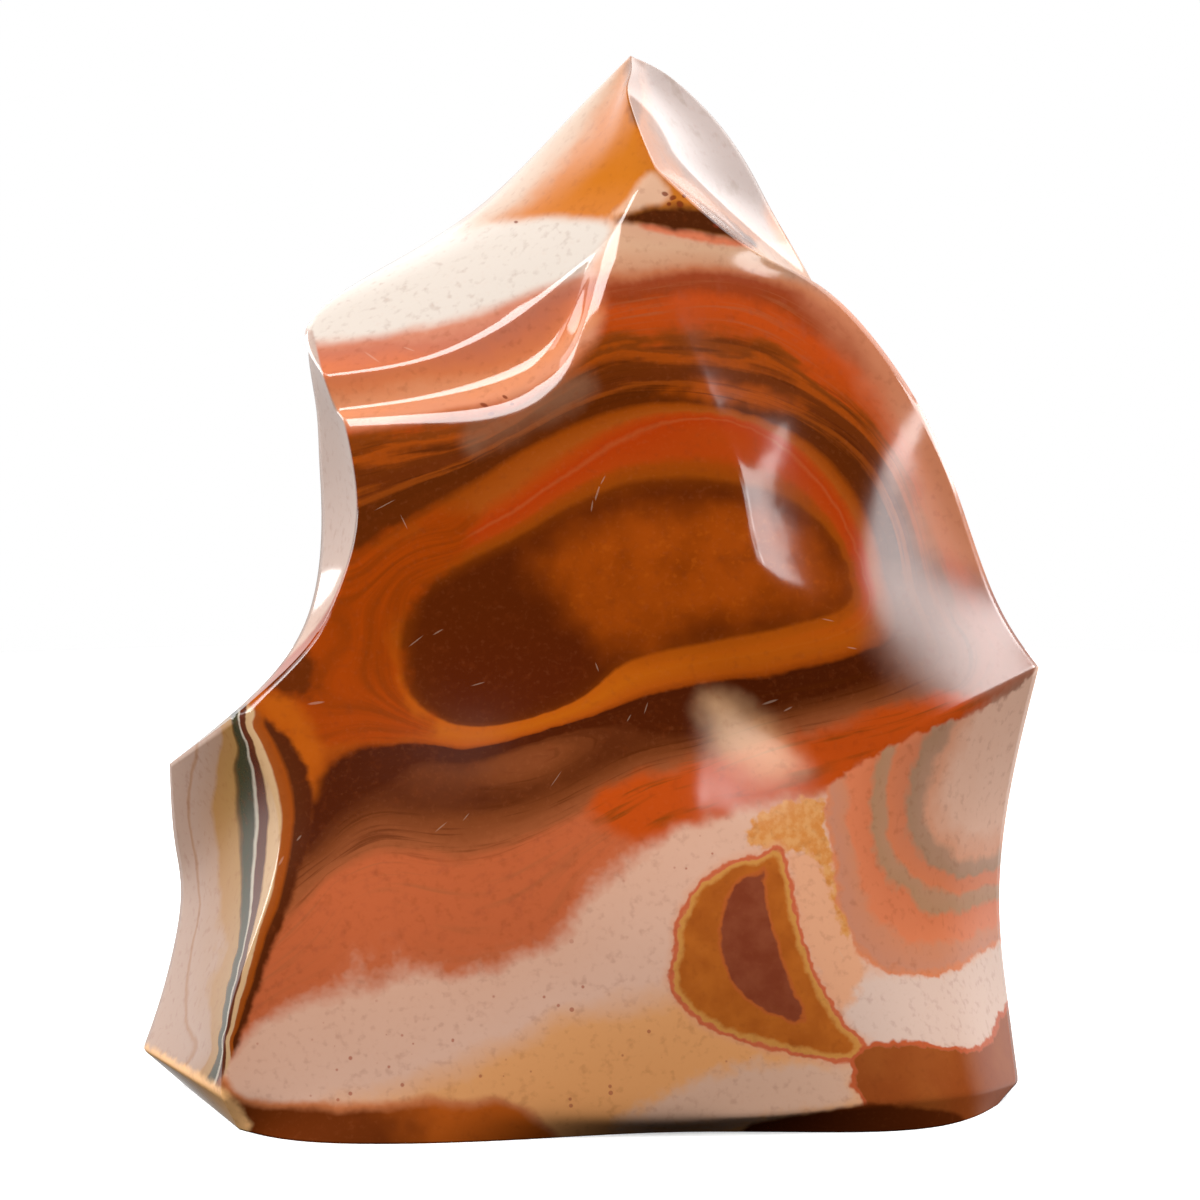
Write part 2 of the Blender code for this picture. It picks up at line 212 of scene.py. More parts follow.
# The lines between the folded bands, from the heart of the fold (0) outwards.
TOP_LEVEL = 11
STRATA_GUIDES = (
    (0.3, ((470, 640), (520, 620), (600, 590), (690, 560), (760, 560))),
    (2, ((415, 590), (405, 640), (410, 690), (440, 718), (480, 726), (530, 718), (580, 698),
         (612, 670), (640, 655), (700, 642), (750, 632), (800, 621), (846, 604), (848, 565),
         (822, 525), (775, 496), (720, 483), (670, 481), (620, 488), (570, 509), (520, 537),
         (475, 560), (435, 580))),
    (3, ((462, 550), (510, 527), (560, 495), (610, 470), (660, 458), (710, 457), (760, 467),
         (805, 492), (840, 535), (862, 600))),
    (4, ((455, 535), (500, 505), (540, 480), (580, 452), (610, 432), (660, 415), (710, 413),
         (750, 422), (795, 448), (830, 485), (858, 530), (874, 590))),
    (3.6, ((335, 600), (350, 640), (330, 670), (340, 700))),
    (5, ((350, 560), (400, 522), (440, 497), (480, 475), (520, 450), (560, 430), (600, 412),
         (650, 402), (700, 404), (745, 414), (800, 436), (842, 474), (872, 525), (888, 585))),
    (6, ((350, 508), (380, 495), (420, 480), (470, 462), (520, 435), (560, 412), (600, 394),
         (640, 386), (700, 387), (750, 397), (805, 418), (860, 458), (895, 520), (910, 590))),
    (7, ((345, 442), (400, 428), (460, 420), (520, 400), (560, 374), (600, 349), (650, 340),
         (720, 342), (780, 358), (850, 405), (905, 475), (935, 560), (955, 620))),
    (8, ((310, 343), (370, 337), (420, 326), (480, 311), (540, 290), (600, 278), (650, 272),
         (700, 268), (760, 275), (810, 292), (880, 335), (960, 420), (1020, 520))),
    (9, ((490, 222), (520, 221), (560, 217), (600, 215), (640, 219), (700, 229), (745, 241))),
    (8.5, ((315, 315), (400, 265), (450, 240), (480, 227))),
    (10, ((632, 60), (560, 140), (700, 110))),
    (5, ((365, 745), (420, 742), (460, 748), (500, 742), (550, 728), (600, 712), (640, 697),
         (700, 683), (760, 676), (800, 668), (850, 655), (890, 638))),
    (6, ((315, 850), (345, 818), (380, 802), (430, 802), (480, 798), (540, 786), (590, 766),
         (640, 746), (700, 735), (760, 715), (820, 702), (880, 684), (930, 655))),
    (7, ((330, 872), (380, 848), (430, 852), (480, 851), (540, 831), (600, 800), (650, 776),
         (700, 763), (760, 741), (830, 724), (900, 708), (960, 685))),
    (8, ((225, 1065), (258, 1025), (300, 1001), (350, 993), (400, 980), (450, 975), (500, 965),
         (550, 945), (580, 915), (600, 885), (640, 850), (680, 825), (720, 811), (760, 803),
         (820, 790), (870, 765), (950, 725), (1030, 680))),
    (9, ((240, 1120), (350, 1108), (430, 1077), (480, 1057), (530, 1031), (560, 1017),
         (620, 1006), (690, 990))),
    (8.5, ((640, 930), (800, 870), (900, 1000), (980, 1000))),
    (9.6, ((600, 1075), (740, 1060), (650, 1120))),
)
HEIGHT_GUIDES = (
    (0, ((250, 650), (330, 650), (500, 640), (650, 640), (800, 625), (900, 620), (1040, 660))),
    (2, ((350, 450), (600, 440), (850, 430))),
    (-2, ((350, 840), (600, 840), (850, 830))),
)
# The lines between the rings of the swirl, from its rim (0) to its middle.
SWIRL_TOP_LEVEL = 8
SWIRL_GUIDES = (
    (0, ((826, 790), (826, 830), (835, 860), (835, 890), (842, 912), (857, 955), (875, 968),
         (905, 975), (930, 975), (955, 970), (975, 955), (1000, 940))),
    (1, ((852, 765), (848, 810), (853, 850), (864, 890), (886, 925), (915, 941), (950, 941),
         (990, 925))),
    (2, ((880, 745), (872, 800), (873, 850), (890, 880), (920, 905), (950, 912), (990, 900))),
    (3, ((896, 735), (887, 800), (891, 845), (909, 870), (935, 889), (960, 893), (995, 885))),
    (4, ((928, 728), (906, 790), (904, 820), (916, 850), (940, 871), (965, 879), (996, 870))),
    (5, ((955, 722), (926, 790), (923, 815), (936, 840), (955, 855), (975, 859), (998, 850))),
    (7, ((985, 740), (975, 790), (1000, 800))),
)

# The lines between the stripes of the left side, from its far edge (0) to the front ridge.
SIDE_TOP_LEVEL = 9
SIDE_GUIDES = (
    (0, ((165, 760), (172, 800), (180, 850), (184, 900), (176, 950), (163, 1000), (150, 1045))),
    (1, ((196, 742), (188, 800), (193, 850), (199, 900), (192, 950), (184, 1000), (192, 1050))),
    (2, ((222, 738), (216, 800), (217, 850), (218, 900), (215, 950), (209, 1000), (211, 1050))),
    (3, ((234, 735), (236, 765), (237, 800), (240, 850), (242, 900), (239, 950), (226, 1000),
         (219, 1050))),
    (4, ((240, 716), (249, 745), (256, 790), (257, 830), (254, 880), (249, 920), (241, 960),
         (230, 1005), (222, 1055))),
    (5, ((248, 728), (260, 765), (267, 800), (268, 830), (264, 875), (257, 915), (248, 950),
         (235, 1000))),
    (6, ((252, 726), (267, 758), (280, 800), (282, 825), (277, 870), (265, 912), (253, 950),
         (239, 1000))),
    (7, ((264, 720), (283, 760), (294, 800), (293, 830), (287, 870), (276, 912), (263, 950),
         (247, 1000), (232, 1040))),
    (8, ((288, 735), (307, 765), (313, 800), (310, 835), (301, 870), (287, 912), (272, 950),
         (256, 1000), (240, 1040))),
)
FIELDS = {
    "strata": STRATA_GUIDES, "height": HEIGHT_GUIDES,
    "swirl": SWIRL_GUIDES, "side": SIDE_GUIDES,
}

# Markings with an outline of their own.
OUTLINES = {
    "white shoulder": (
        (240, 350), (310, 344), (370, 338), (420, 327), (480, 312), (540, 290), (585, 268),
        (625, 222), (560, 217), (490, 222), (440, 215), (280, 290)),
    "shoulder": (
        (290, 325), (370, 332), (420, 321), (480, 306), (540, 285), (580, 260), (606, 285),
        (600, 335), (580, 362), (550, 386), (500, 404), (440, 415), (350, 432), (320, 415)),
    # A painted reflection: a greyish veil over the brown below the lower lip.
    "grey painted reflection": (
        (462, 436), (510, 406), (560, 380), (592, 366), (592, 392), (552, 418), (510, 437),
        (468, 458)),
    "rust": (
        (240, 600), (345, 562), (395, 532), (440, 512), (468, 506), (478, 524), (452, 560),
        (424, 584), (404, 605), (396, 640), (400, 690), (426, 722), (440, 738), (365, 744),
        (300, 742), (240, 710)),
    "heart": (
        (536, 556), (585, 525), (650, 508), (710, 503), (760, 509), (806, 534), (842, 575),
        (846, 602), (785, 613), (720, 624), (665, 636), (622, 654), (588, 632), (558, 592),
        (536, 566)),
    "ember": (
        (578, 806), (615, 783), (680, 766), (740, 755), (800, 738), (850, 724), (905, 700),
        (960, 694), (1000, 700), (905, 748), (852, 775), (834, 790), (790, 800), (720, 812),
        (684, 824), (650, 842), (615, 834)),
    "pale right": (
        (842, 975), (900, 976), (960, 972), (1000, 938), (1060, 930), (1060, 1000), (1008, 1003),
        (986, 1053), (945, 1048), (864, 1044), (842, 1022)),
    "pale foot": (
        (720, 1066), (790, 1060), (852, 1064), (850, 1085), (862, 1104), (790, 1118), (720, 1128),
        (640, 1132), (600, 1130)),
    "saffron": (
        (752, 820), (775, 805), (800, 797), (824, 796), (827, 830), (834, 860), (838, 888),
        (846, 910), (856, 935), (842, 936), (832, 900), (822, 868), (808, 850), (790, 850),
        (770, 850), (752, 848), (746, 835)),
    "peach": (
        (788, 848), (832, 850), (845, 905), (860, 945), (866, 975), (852, 1004), (838, 1012),
        (823, 990), (810, 960), (800, 930), (793, 890)),
    "swirl area": (
        (834, 783), (826, 790), (826, 830), (835, 860), (835, 890), (842, 912), (850, 935),
        (857, 955), (875, 968), (905, 976), (930, 977), (955, 971), (975, 957), (998, 942),
        (1070, 925), (1070, 650), (1037, 667), (1010, 699), (965, 717), (905, 739), (850, 770)),
    "shield": (
        (777, 846), (765, 857), (740, 861), (722, 868), (706, 880), (695, 892), (689, 905),
        (682, 918), (677, 935), (679, 952), (672, 968), (672, 984), (680, 998), (690, 1010),
        (705, 1022), (725, 1032), (750, 1040), (780, 1048), (810, 1054), (836, 1059), (853, 1061),
        (866, 1046), (850, 1034), (838, 1019), (825, 999), (815, 979), (806, 955), (798, 932),
        (793, 908), (789, 884), (785, 862)),
    "shield heart": (
        (766, 864), (757, 877), (737, 879), (729, 896), (722, 917), (720, 940), (724, 962),
        (732, 981), (748, 999), (766, 1011), (786, 1019), (808, 1024), (801, 1005), (790, 984),
        (780, 955), (771, 922), (764, 892)),
    "block": (
        (866, 1044), (905, 1044), (945, 1048), (986, 1053), (1006, 1002), (1040, 990),
        (1040, 1100), (960, 1160), (860, 1160), (862, 1112), (867, 1103), (858, 1093),
        (851, 1082), (856, 1070), (851, 1060)),
    "foot shadow": (
        (736, 1127), (780, 1117), (833, 1110), (868, 1102), (910, 1108), (970, 1112), (985, 1170),
        (730, 1170)),
    "foot strip": (
        (214, 1070), (226, 1084), (236, 1097), (252, 1101), (275, 1103), (345, 1105), (400, 1104),
        (430, 1098), (470, 1106), (500, 1100), (520, 1106), (541, 1118), (556, 1134), (560, 1170),
        (180, 1170), (190, 1080)),
    "ridge flame": (
        (240, 692), (290, 690), (318, 730), (324, 770), (312, 806), (304, 770), (288, 738),
        (262, 714)),
    "side area": (
        (90, 690), (236, 692), (262, 716), (288, 735), (307, 765), (313, 800), (310, 835),
        (301, 870), (287, 912), (272, 950), (256, 1000), (240, 1040), (222, 1078), (200, 1120),
        (90, 1120)),
    "dark spot": ((270, 640), (305, 645), (318, 668), (314, 692), (298, 700), (262, 690)),
    "top streak": (
        (612, 221), (640, 209), (668, 206), (692, 206), (712, 211), (735, 225), (760, 248),
        (742, 243), (716, 236), (690, 231), (655, 227), (632, 224)),
    "glow": (
        (652, 392), (672, 384), (700, 380), (735, 381), (765, 388), (800, 402), (812, 412),
        (780, 408), (745, 402), (715, 397), (680, 397)),
    # Pink along the right edge: partly the stone's colour, partly a painted haze of reflected
    # light.
    "pink edge and painted haze": (
        (790, 262), (838, 330), (868, 378), (888, 420), (904, 470), (915, 520), (930, 560),
        (1010, 590), (1010, 560), (960, 420), (920, 330), (830, 250)),
    "apex right": (
        (636, 40), (644, 100), (656, 138), (680, 172), (712, 200), (748, 226), (812, 285),
        (860, 300), (800, 160), (700, 60)),
    "tip shade": (
        (885, 560), (930, 560), (985, 590), (1060, 660), (1060, 680), (960, 712), (900, 690),
        (872, 640)),
    "left chamfer": (
        (120, 1030), (150, 1048), (214, 1082), (236, 1100), (260, 1140), (120, 1140)),
    # The pale tan along the left edge of the point's facet, partly a painted sheen.
    "apex left and sheen": (
        (634, 40), (621, 78), (597, 112), (570, 152), (538, 188), (496, 224), (440, 230),
        (520, 120)),
    "apex shade": ((624, 56), (642, 56), (642, 90), (640, 126), (632, 126), (627, 90)),
    # A pale patch, partly a painted highlight where the lip ridge broadens below the point.
    "pale corner and highlight": (
        (651, 166), (662, 182), (672, 192), (668, 202), (650, 206), (628, 213), (608, 218),
        (630, 196)),
    "streak rim": (
        (640, 221), (690, 231), (720, 236), (750, 241), (756, 249), (720, 244), (690, 239),
        (640, 228)),
    # A painted highlight: the pale soft spot where a softbox shines on the lower front.
    "painted highlight spot": (
        (702, 692), (735, 702), (775, 730), (806, 768), (775, 778), (738, 768), (712, 738)),
    "matt spot": (
        (690, 690), (740, 690), (800, 740), (830, 790), (780, 820), (730, 800), (700, 750)),
    "matt tip": (
        (880, 470), (930, 470), (990, 560), (1060, 650), (1060, 690), (940, 715), (880, 670),
        (850, 590)),
    "top edge": (
        (634, 90), (645, 130), (656, 162), (690, 196), (718, 214), (756, 244), (738, 234),
        (706, 208), (680, 196), (664, 186), (652, 172), (640, 158), (632, 128)),
}

# Fields lie on the mesh three to a vector, in this order.
FIELD_NAMES = (*FIELDS, *OUTLINES, "upper side")

# The colours of the bands: (level, colour), from the heart of the fold outwards.
UPPER_BANDS = (
    (1.5, (0.08, 0.012, 0.001)), (2.0, (0.13, 0.022, 0.001)),
    (2.3, (0.24, 0.045, 0.002)), (2.8, (0.28, 0.046, 0.002)), (3.05, (0.35, 0.042, 0.003)),
    (3.5, (0.35, 0.034, 0.002)), (3.62, (0.36, 0.06, 0.012)), (3.74, (0.35, 0.034, 0.002)),
    (4.0, (0.35, 0.045, 0.003)), (4.25, (0.3, 0.06, 0.005)), (4.7, (0.25, 0.045, 0.002)),
    (5.05, (0.095, 0.016, 0.001)), (5.8, (0.085, 0.015, 0.001)), (6.0, (0.2, 0.038, 0.003)),
    (6.12, (0.21, 0.04, 0.003)), (6.25, (0.11, 0.019, 0.002)), (6.6, (0.12, 0.022, 0.002)),
    (6.75, (0.27, 0.047, 0.003)), (6.84, (0.29, 0.05, 0.003)), (6.93, (0.16, 0.032, 0.003)),
    (7.02, (0.24, 0.042, 0.003)), (7.12, (0.38, 0.05, 0.004)), (7.45, (0.43, 0.055, 0.006)),
    (7.62, (0.26, 0.038, 0.007)), (7.84, (0.27, 0.046, 0.014)), (7.98, (0.42, 0.13, 0.055)),
    (8.15, (0.5, 0.24, 0.135)), (8.5, (0.54, 0.31, 0.19)), (8.9, (0.54, 0.29, 0.18)),
    (9.02, (0.47, 0.15, 0.03)), (9.6, (0.43, 0.125, 0.01)), (10.5, (0.4, 0.12, 0.014)),
)
LOWER_BANDS = (
    (0.0, (0.075, 0.01, 0.001)), (1.5, (0.085, 0.013, 0.001)), (2.0, (0.12, 0.02, 0.001)),
    (2.3, (0.39, 0.078, 0.003)), (3.5, (0.4, 0.088, 0.003)), (4.6, (0.35, 0.065, 0.003)),
    (4.95, (0.24, 0.04, 0.002)), (5.1, (0.055, 0.008, 0.001)), (5.8, (0.06, 0.009, 0.001)),
    (6.3, (0.16, 0.038, 0.009)), (6.9, (0.27, 0.07, 0.022)), (7.2, (0.42, 0.092, 0.03)),
    (7.9, (0.45, 0.1, 0.034)), (8.07, (0.6, 0.34, 0.235)), (8.8, (0.64, 0.385, 0.28)),
    (9.2, (0.68, 0.31, 0.12)), (10.5, (0.69, 0.285, 0.09)),
)

SHOULDER_BANDS = (
    (6.6, (0.34, 0.06, 0.012)), (6.9, (0.46, 0.12, 0.04)), (7.15, (0.56, 0.22, 0.12)),
    (7.35, (0.6, 0.22, 0.1)), (7.5, (0.56, 0.16, 0.06)), (7.7, (0.5, 0.14, 0.065)),
    (7.85, (0.42, 0.13, 0.075)), (8.0, (0.47, 0.18, 0.11)), (8.15, (0.6, 0.42, 0.33)),
)
# The pale middle of the swirl is partly a painted sheen of the light from the right.
SWIRL_BANDS = (
    (0.0, (0.585, 0.187, 0.0819)), (0.25, (0.491, 0.199, 0.117)), (0.8, (0.526, 0.199, 0.105)),
    (1.1, (0.608, 0.175, 0.076)), (1.85, (0.585, 0.164, 0.0702)), (2.15, (0.386, 0.199, 0.105)),
    (2.8, (0.421, 0.211, 0.117)), (3.1, (0.585, 0.175, 0.076)), (3.9, (0.562, 0.175, 0.0819)),
    (4.2, (0.363, 0.199, 0.117)), (4.8, (0.409, 0.222, 0.14)), (5.2, (0.632, 0.292, 0.175)),
    (6.2, (0.702, 0.409, 0.292)), (8.0, (0.725, 0.445, 0.328)),
)
SIDE_BANDS = (
    (0.0, (0.4, 0.27, 0.21)), (0.9, (0.38, 0.25, 0.19)), (1.0, (0.32, 0.17, 0.1)),
    (1.12, (0.38, 0.25, 0.19)), (1.9, (0.36, 0.22, 0.15)), (2.1, (0.34, 0.17, 0.06)),
    (2.85, (0.34, 0.18, 0.06)), (3.0, (0.12, 0.06, 0.02)), (3.15, (0.05, 0.045, 0.02)),
    (3.75, (0.05, 0.045, 0.025)), (3.9, (0.4, 0.34, 0.27)), (4.02, (0.42, 0.36, 0.28)),
    (4.15, (0.09, 0.02, 0.01)), (4.85, (0.09, 0.025, 0.01)), (5.05, (0.46, 0.28, 0.14)),
    (5.9, (0.48, 0.3, 0.16)), (6.1, (0.26, 0.06, 0.01)), (6.8, (0.26, 0.05, 0.004)),
    (7.1, (0.075, 0.015, 0.003)), (7.9, (0.07, 0.012, 0.002)), (8.3, (0.18, 0.035, 0.004)),
)

# Short scratches and chips, as x, y, length, width and slope (in degrees) in the picture.
SCRATCHES = (
    (597, 494, 30, 2.4, 108), (592, 506, 14, 2.0, 98), (603, 480, 12, 1.8, 118),
    (372, 357, 22, 2.2, 35), (409, 349, 15, 1.8, 20), (416, 641, 22, 1.6, -38),
    (438, 632, 14, 1.8, -30), (478, 684, 17, 1.6, -16), (597, 667, 12, 1.8, 70),
    (316, 703, 20, 3.4, -8), (281, 861, 14, 3.0, -60), (299, 838, 9, 2.4, -50),
    (385, 505, 27, 1.4, -28), (404, 522, 19, 1.4, 64), (646, 708, 15, 1.5, -72),
    (629, 718, 10, 1.5, -60), (770, 702, 20, 3.0, -18), (788, 709, 12, 2.2, -28),
    (852, 648, 12, 2.0, 10), (828, 620, 15, 1.6, 12), (441, 827, 20, 1.6, -40),
    (466, 817, 13, 1.4, -50), (841, 954, 17, 1.5, 58), (556, 779, 24, 1.2, -55),
)
CHIPS = (
    (665, 194, 9, 6, 20), (673, 198, 9, 7, -20), (680, 204, 10, 8, 30), (669, 204, 6, 5, 0),
    (684, 196, 6, 5, 0), (716, 226, 9, 5, 20), (484, 405, 11, 5, 20), (491, 414, 9, 5, -10),
    (505, 397, 8, 4, 30), (512, 404, 6, 4, 0), (516, 222, 6, 4, 0),
)
# How far behind the origin they lie, and how far they reach in and out, in centimetres.
MARK_DEPTH = -1.4
MARK_REACH = 2.5
# About the size of a face, in pixels: a face follows the mark that comes this near to it.
MARK_MARGIN = 10
# Specks lie about this many pixels apart.
SPECK_SPACING = 13

# The finish: hand grinding leaves waves this high (in metres) in the polish.
WAVE_HEIGHT = 4e-6
JASPER_IOR = 1.54
POLISHED = 0.085
MATT = 0.21

# The softboxes: azimuths, elevations (in degrees from the stone) and radiance.
SOFTBOXES = {
    "front_right_box": ((25, 43), (10.5, 17.2), 8),
    "spot_box": ((20, 27), (10.5, 13), 7),
    "right_box": ((60, 125), (8, 20), 9.5),
    "right_fill": ((60, 150), (20, 60), 3.2),
    "left_rim": ((-135, -95), (3, 25), 6.5),
    "left_fill": ((-88, -60), (21, 37), 4),
    "top_left_box": ((-60, -14), (22, 52), 13),
}


# The shape of the stone

def push_out(ridge, corner_rows):
    """Cage points whose smoothed line runs through a ridge's own points, apart from its corners."""
    aim = [Vector(point) for point in (*ridge, POINT)]
    points = list(aim)
    for _ in range(SETTLING_ROUNDS):
        for i in range(1, ROWS):
            if i not in corner_rows:
                smoothed = (points[i - 1] + 4 * points[i] + points[i + 1]) / 6
                points[i] = points[i] + aim[i] - smoothed
    return points[:ROWS]


def halfway(before, start, end, after):
    """The point half way along the smooth curve from start to end."""
    return (9 * (start + end) - before - after) / 16


def front_row(row, known):
    """The front ridges of one row, with a point on a smooth curve between each two."""
    padded = [2 * known[0] - known[1], *known, 2 * known[-1] - known[-2]]
    points = []
    for i in range(1, len(padded) - 2):
        points += [padded[i], halfway(*padded[i - 1:i + 3])]
    points.append(padded[-2])
    return [Vector(FRONT_DETAIL.get((i, row), point)) for i, point in enumerate(points)]


def scoop(start, end, count, depth):
    """Points between two ridges, sunk towards the inside of the stone."""
    along = end - start
    inward = Vector((-along.y, along.x, 0)).normalized()
    shares = [(i + 1) / (count + 1) for i in range(count)]
    return [start + along * t + inward * depth * math.sin(math.pi * t) for t in shares]


def rings():
    """The points of every row, round the stone from its front left ridge."""
    front_left = push_out(FRONT_LEFT, (CHAMFER_ROW, FORK_ROW, SHELF_ROW, LIP_ROW))
    front_middle = [Vector(point) for point in FRONT_MIDDLE]
    front_right = [Vector(point) for point in FRONT_RIGHT]
    right = push_out(RIGHT, (CHAMFER_ROW, FORK_ROW, LIP_ROW))
    back_right = push_out(BACK_RIGHT, (CHAMFER_ROW, FORK_ROW, BACK_FORK_ROW))
    back = push_out(BACK, (FORK_ROW, BACK_FORK_ROW))
    back_left = push_out(BACK_LEFT, (CHAMFER_ROW, FORK_ROW))
    return [
        [
            *front_row(i, [front_left[i], front_middle[i], front_right[i], right[i]]),
            *scoop(right[i], back_right[i], 1, RIGHT_SIDE_DEPTH[i]), back_right[i],
            *scoop(back_right[i], back[i], 2, BACK_RIGHT_DEPTH[i]), back[i],
            *scoop(back[i], back_left[i], 2, BACK_LEFT_DEPTH[i]), back_left[i],
            *scoop(back_left[i], front_left[i], 1, LEFT_SIDE_DEPTH[i]),
        ]
        for i in range(ROWS)
    ]


def close_foot(mesh, outline):
    """Fills the flat foot: one ring half way in, then a fan to the middle."""
    middle = sum((corner.co for corner in outline), Vector()) / len(outline)
    inner = [mesh.verts.new((corner.co + middle) / 2) for corner in outline]
    centre = mesh.verts.new(middle)
    for i in range(len(outline)):
        j = (i + 1) % len(outline)
        mesh.faces.new((outline[j], outline[i], inner[i], inner[j]))
        mesh.faces.new((inner[j], inner[i], centre))


def crease_ridges(mesh, grid):
    """Marks the cage edges that stay as ridges."""
    crease = mesh.edges.layers.float.new("crease_edge")
    for (column, row), (end_column, end_row), sharpness in RIDGES:
        steps = max(end_column - column, end_row - row)
        across = (end_column - column) // steps
        up = (end_row - row) // steps
        corners = [grid[row + up * i][(column + across * i) % COLUMNS] for i in range(steps + 1)]
        for corner, following in zip(corners, corners[1:]):
            mesh.edges.get((corner, following))[crease] = sharpness


def cage():
    """The cage as a mesh in metres."""
    mesh = bmesh.new()
    grid = [[mesh.verts.new(point * MM) for point in ring] for ring in rings()]
    tip = mesh.verts.new(Vector(POINT) * MM)
    for lower, upper in zip(grid, grid[1:]):
        for i in range(COLUMNS):
            j = (i + 1) % COLUMNS
            mesh.faces.new((lower[i], lower[j], upper[j], upper[i]))
    for i in range(COLUMNS):
        mesh.faces.new((grid[-1][i], grid[-1][(i + 1) % COLUMNS], tip))
    close_foot(mesh, grid[0])
    crease_ridges(mesh, grid + [[tip] * COLUMNS])
    data = bpy.data.meshes.new("flame surface")
    mesh.to_mesh(data)
    mesh.free()
    return data


def smoothed(piece, levels):
    """Replaces the piece's mesh with its own smooth surface."""
    surface = piece.modifiers.new("ground surface", "SUBSURF")
    surface.levels = levels
    surface.render_levels = levels
    evaluated = piece.evaluated_get(bpy.context.evaluated_depsgraph_get())
    piece.data = bpy.data.meshes.new_from_object(evaluated)
    piece.modifiers.clear()


def fit_to_box(piece, low, high):
    """Lays the piece's mesh exactly into the box of the solid that it stands for."""
    points = np.zeros(len(piece.data.vertices) * 3)
    piece.data.vertices.foreach_get("co", points)
    points = points.reshape(-1, 3)
    smallest, largest = points.min(axis=0), points.max(axis=0)
    points = (points - smallest) / (largest - smallest) * (np.array(high) - low) + low
    piece.data.vertices.foreach_set("co", points.ravel())
    piece.data.update()


def polished_stone():
    """The stone's surface, fine enough to carry its polish."""
    stone = bpy.data.objects.new("flame_surface", cage())
    bpy.context.scene.collection.objects.link(stone)
    smoothed(stone, FINE_LEVELS)
    fit_to_box(stone, *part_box("flame"))
    stone.data.shade_smooth()
    lay_markings(stone)
    return stone


# The markings: where they lie on the stone

def seen_from_camera(points):
    """Where points in metres lie in the picture, in pixels to the right and down."""
    back = np.array(direction(0, math.degrees(CAMERA_ELEVATION)))
    up = np.array((0.0, -back[1] * back[2] / abs(back[1]), abs(back[1])))
    offset = points - (np.array(CAMERA_AIM) + back * CAMERA_DISTANCE)
    scale = PICTURE_PIXELS * LENS_MM / SENSOR_MM / -(offset @ back)
    middle = PICTURE_PIXELS / 2
    return np.stack([middle + scale * offset[:, 0], middle - scale * (offset @ up)], axis=1)


def marking_places(points):
    """Where the stone's points lie among the markings, which drift with depth behind the front."""
    places = seen_from_camera(points)
    depth = np.clip(points[:, 1] / MM - FRONT_DEPTH, 0, None)
    places[:, 0] += depth * (3.0 + 2.0 * np.sin(points[:, 2] / MM / 19))
    places[:, 1] += depth * (-2.5 + 2.5 * np.sin(points[:, 0] / MM / 23 + 1))
    return places


def traced(line):
    """Points close together along a smooth curve through a guide line's own points."""
    points = np.array(line, dtype=float)
    padded = np.vstack([2 * points[0] - points[1], points, 2 * points[-1] - points[-2]])
    curve = []
    for before, start, end, after in zip(padded, padded[1:], padded[2:], padded[3:]):
        steps = max(1, round(np.linalg.norm(end - start) / GUIDE_STEP))
        for t in np.arange(steps) / steps:
            slope = (end - before) / 2 * t
            bow = (before - 2.5 * start + 2 * end - after / 2) * t ** 2
            turn = (1.5 * (start - end) + (after - before) / 2) * t ** 3
            curve.append(start + slope + bow + turn)
    return [*curve, points[-1]]


def spread(places, guides):
    """A smooth field that has each guide's level all along its line (a thin plate spline)."""
    lines = [(level, traced(line)) for level, line in guides]
    known = np.array([point for level, line in lines for point in line]) / 100
    levels = np.array([level for level, line in lines for point in line], dtype=float)

    def bend(first, second):
        squares = ((first[:, None] - second[None]) ** 2).sum(axis=2)
        return squares * np.log(squares + 1e-9)

    def flat(spots):
        return np.hstack([np.ones((len(spots), 1)), spots])

    stiffness = bend(known, known) + SPREAD_EASE * np.eye(len(known))
    edge = flat(known)
    system = np.block([[stiffness, edge], [edge.T, np.zeros((3, 3))]])
    weights = np.linalg.solve(system, np.concatenate([levels, np.zeros(3)]))
    batches = np.array_split(places / 100, len(places) // SPREAD_BATCH + 1)
    return np.concatenate([
        bend(spots, known) @ weights[:-3] + flat(spots) @ weights[-3:] for spots in batches])


def rounded(outline):
    """A closed outline with its corners cut twice."""
    points = np.array(outline, dtype=float)
    for _ in range(2):
        following = np.roll(points, -1, axis=0)
        cut = np.stack([points * 0.75 + following * 0.25, points * 0.25 + following * 0.75], axis=1)
        points = cut.reshape(-1, 2)
    return points


def depth_inside(places, outline):
    """How far inside a closed outline each place lies, in pixels: below zero outside it."""
    corners = rounded(outline)
    nearest = np.full(len(places), np.inf)
    inside = np.zeros(len(places), dtype=bool)
    for start, end in zip(corners, np.roll(corners, -1, axis=0)):
        along = end - start
        offset = places - start
        share = np.clip(offset @ along / (along @ along), 0, 1)
        gap = offset - share[:, None] * along
        nearest = np.minimum(nearest, (gap ** 2).sum(axis=1))
        crosses = (start[1] > places[:, 1]) != (end[1] > places[:, 1])
        if crosses.any():
            reach = start[0] + (places[:, 1] - start[1]) * along[0] / along[1]
            inside ^= crosses & (places[:, 0] < reach)
    return np.where(inside, 1, -1) * np.sqrt(nearest)


def beside_ridge():
    """All that lies to the left of the upper front left ridge in the picture."""
    ridge = np.array(FRONT_LEFT[FORK_ROW:SHOULDER_ROW + 1]) * MM
    ridge[:, :2] += CAMERA_AIM.xy
    line = traced(seen_from_camera(ridge))
    return [*line, (0, line[-1][1]), (0, line[0][1])]


